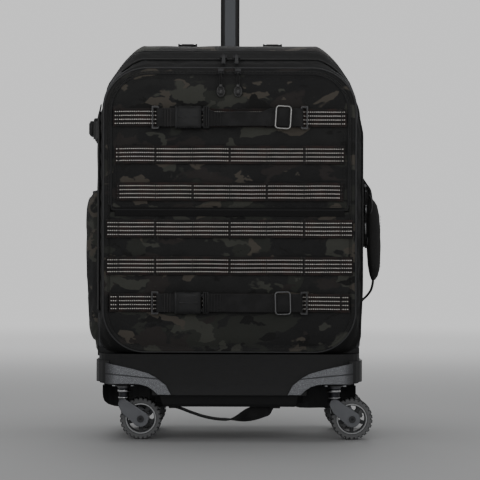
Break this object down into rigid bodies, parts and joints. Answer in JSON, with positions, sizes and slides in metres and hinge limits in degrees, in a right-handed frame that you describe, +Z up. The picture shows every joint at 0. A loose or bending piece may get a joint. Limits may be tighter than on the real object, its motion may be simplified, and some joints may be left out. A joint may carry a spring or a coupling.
{
  "type": "rolling upright soft suitcase",
  "caption": "Upright soft case on four swivel wheels, with a side-opening lid, drop-down front pocket, webbing grid, clip-on straps and a single-post telescopic pull handle.",
  "frame": {"origin": "on the floor, under the centre of the case's overall plan outline, with the pull handle drawn out", "axes": "+Z up, the front lid faces -Y, +X is to the right seen from the front"},
  "size_m": [0.419, 0.2482, 1.0301],
  "materials": {
    "base_plastic": "fine moulded grain",
    "guard_black": "satin",
    "guard_grey": "speckled metallic grain",
    "zinc_steel": "zinc plated",
    "camo_fabric": "woven nylon, printed pattern",
    "board_plastic": "smooth sheet",
    "hoop_plastic": "extruded rod",
    "zip_nylon": "coil",
    "pocket_fabric": "woven nylon",
    "black_webbing": "tight webbing",
    "buckle_plastic": "moulded acetal",
    "bright_metal": "polished",
    "dark_metal": "gunmetal",
    "handle_fabric": "padded woven nylon",
    "tube_aluminium": "anodised",
    "post_metal": "dark anodised",
    "grip_plastic": "soft touch",
    "button_plastic": "satin",
    "grid_webbing": "webbing with pale stitched lines",
    "pull_rubber": "moulded",
    "fork_metal": "gloss dark grey",
    "axle_black": "capped steel pin",
    "hub_plastic": "satin",
    "tyre": "lugged"
  },
  "bodies": {
    "case": {"base_tray": "base_plastic", "corner_guards": "guard_black", "guard_inserts": "guard_grey", "caster_mounts": "base_plastic", "swivel_pins": "zinc_steel", "base_screws": "zinc_steel", "main_shell": "camo_fabric", "frame_board": "board_plastic", "frame_hoop": "hoop_plastic", "main_zip_coil": "zip_nylon", "side_pocket": "pocket_fabric", "side_strap": "black_webbing", "side_buckle": "buckle_plastic", "handle_anchors": "bright_metal", "bottom_handle": "black_webbing", "handle_outer_tube": "tube_aluminium", "handle_bezel": "guard_black", "handle_foot": "base_plastic"},
    "front_lid": {"lid_shell": "camo_fabric", "lid_webbing": "grid_webbing", "lower_strap": "black_webbing", "lower_buckle": "buckle_plastic", "lower_hooks": "dark_metal"},
    "lower_ring": {"lower_ring": "dark_metal"},
    "front_flap": {"flap_panel": "camo_fabric", "flap_webbing": "grid_webbing", "upper_strap": "black_webbing", "upper_buckle": "buckle_plastic", "upper_hooks": "bright_metal"},
    "upper_ring": {"upper_ring": "bright_metal"},
    "main_slider_left": {"main_slider_left": "dark_metal"},
    "main_slider_right": {"main_slider_right": "dark_metal"},
    "pocket_slider_left": {"pocket_slider_left": "dark_metal"},
    "pocket_slider_right": {"pocket_slider_right": "dark_metal"},
    "pull_tab_left": {"pull_tab_left": "pull_rubber"},
    "pull_tab_right": {"pull_tab_right": "pull_rubber"},
    "top_handle": {"top_handle": "black_webbing"},
    "side_handle": {"side_handle": "handle_fabric"},
    "handle_mid": {"handle_mid_tube": "post_metal"},
    "handle_inner": {"handle_inner_tube": "post_metal", "handle_grip": "grip_plastic"},
    "grip_button": {"grip_button": "button_plastic", "push_rod": "zinc_steel"},
    "lock_pin": {"lock_pin": "zinc_steel"},
    "fork_front_left": {"fork_front_left": "fork_metal", "axle_front_left": "axle_black"},
    "wheel_front_left": {"hub_front_left": "hub_plastic", "tyre_front_left": "tyre"},
    "fork_front_right": {"fork_front_right": "fork_metal", "axle_front_right": "axle_black"},
    "wheel_front_right": {"hub_front_right": "hub_plastic", "tyre_front_right": "tyre"},
    "fork_rear_left": {"fork_rear_left": "fork_metal", "axle_rear_left": "axle_black"},
    "wheel_rear_left": {"hub_rear_left": "hub_plastic", "tyre_rear_left": "tyre"},
    "fork_rear_right": {"fork_rear_right": "fork_metal", "axle_rear_right": "axle_black"},
    "wheel_rear_right": {"hub_rear_right": "hub_plastic", "tyre_rear_right": "tyre"}
  },
  "joints": [
    {"name": "front_lid_hinge", "type": "hinge", "parent": "case", "child": "front_lid", "pos_m": [-0.1885, -0.08295, 0.3242], "axis": [0, 0, -1], "range_deg": [0, 120]},
    {"name": "front_pocket_hinge", "type": "hinge", "parent": "front_lid", "child": "front_flap", "pos_m": [-0.0065, -0.11145, 0.3167], "axis": [1, 0, 0], "range_deg": [0, 150]},
    {"name": "grip_button_press", "type": "slide", "parent": "handle_inner", "child": "grip_button", "axis": [0, 0, -1], "range_m": [0, 0.004]},
    {"name": "handle_inner_slide", "type": "slide", "parent": "handle_mid", "child": "handle_inner", "axis": [0, 0, 1], "range_m": [-0.2, 0]},
    {"name": "handle_mid_slide", "type": "slide", "parent": "case", "child": "handle_mid", "axis": [0, 0, 1], "range_m": [-0.215, 0]},
    {"name": "lock_pin_retract", "type": "slide", "parent": "handle_inner", "child": "lock_pin", "axis": [0, -1, 0], "range_m": [0, 0.0028]},
    {"name": "side_grip_swing", "type": "hinge", "parent": "case", "child": "side_handle", "pos_m": [0.1814, 0.00655, 0.2742], "axis": [0, 0, 1], "range_deg": [-30, 30]},
    {"name": "spinner_front_left_swivel", "type": "hinge", "parent": "case", "child": "fork_front_left", "pos_m": [-0.154, -0.06545, 0.0662], "axis": [0, 0, 1], "continuous": true},
    {"name": "spinner_front_left_roll", "type": "hinge", "parent": "fork_front_left", "child": "wheel_front_left", "pos_m": [-0.13, -0.06545, 0.029], "axis": [0, 1, 0], "continuous": true},
    {"name": "spinner_front_right_swivel", "type": "hinge", "parent": "case", "child": "fork_front_right", "pos_m": [0.141, -0.06545, 0.0662], "axis": [0, 0, 1], "continuous": true},
    {"name": "spinner_front_right_roll", "type": "hinge", "parent": "fork_front_right", "child": "wheel_front_right", "pos_m": [0.165, -0.06545, 0.029], "axis": [0, 1, 0], "continuous": true},
    {"name": "spinner_rear_left_swivel", "type": "hinge", "parent": "case", "child": "fork_rear_left", "pos_m": [-0.154, 0.07855, 0.0662], "axis": [0, 0, 1], "continuous": true},
    {"name": "spinner_rear_left_roll", "type": "hinge", "parent": "fork_rear_left", "child": "wheel_rear_left", "pos_m": [-0.13, 0.07855, 0.029], "axis": [0, 1, 0], "continuous": true},
    {"name": "spinner_rear_right_swivel", "type": "hinge", "parent": "case", "child": "fork_rear_right", "pos_m": [0.141, 0.07855, 0.0662], "axis": [0, 0, 1], "continuous": true},
    {"name": "spinner_rear_right_roll", "type": "hinge", "parent": "fork_rear_right", "child": "wheel_rear_right", "pos_m": [0.165, 0.07855, 0.029], "axis": [0, 1, 0], "continuous": true},
    {"name": "strap_lower_ring", "type": "slide", "parent": "front_lid", "child": "lower_ring", "axis": [-1, 0, 0], "range_m": [0, 0.08]},
    {"name": "strap_upper_ring", "type": "slide", "parent": "front_flap", "child": "upper_ring", "axis": [-1, 0, 0], "range_m": [0, 0.08]},
    {"name": "top_grip_lift", "type": "hinge", "parent": "case", "child": "top_handle", "pos_m": [-0.0065, 0.02655, 0.5647], "axis": [1, 0, 0], "range_deg": [0, 95]},
    {"name": "zip_main_left", "type": "slide", "parent": "front_lid", "child": "main_slider_left", "axis": [-1, 0, 0], "range_m": [0, 0.1]},
    {"name": "zip_main_right", "type": "slide", "parent": "front_lid", "child": "main_slider_right", "axis": [1, 0, 0], "range_m": [0, 0.1]},
    {"name": "zip_pocket_left", "type": "slide", "parent": "front_flap", "child": "pocket_slider_left", "axis": [-1, 0, 0], "range_m": [0, 0.09]},
    {"name": "zip_pocket_right", "type": "slide", "parent": "front_flap", "child": "pocket_slider_right", "axis": [1, 0, 0], "range_m": [0, 0.09]},
    {"name": "zip_pull_left", "type": "hinge", "parent": "pocket_slider_left", "child": "pull_tab_left", "pos_m": [-0.0191, -0.11715, 0.5066], "axis": [-1, 0, 0], "range_deg": [0, 100]},
    {"name": "zip_pull_right", "type": "hinge", "parent": "pocket_slider_right", "child": "pull_tab_right", "pos_m": [0.0045, -0.11715, 0.5066], "axis": [-1, 0, 0], "range_deg": [0, 100]}
  ],
  "couplings": [
    {"joint": "lock_pin_retract", "follows": "grip_button_press", "ratio": 0.7}
  ]
}
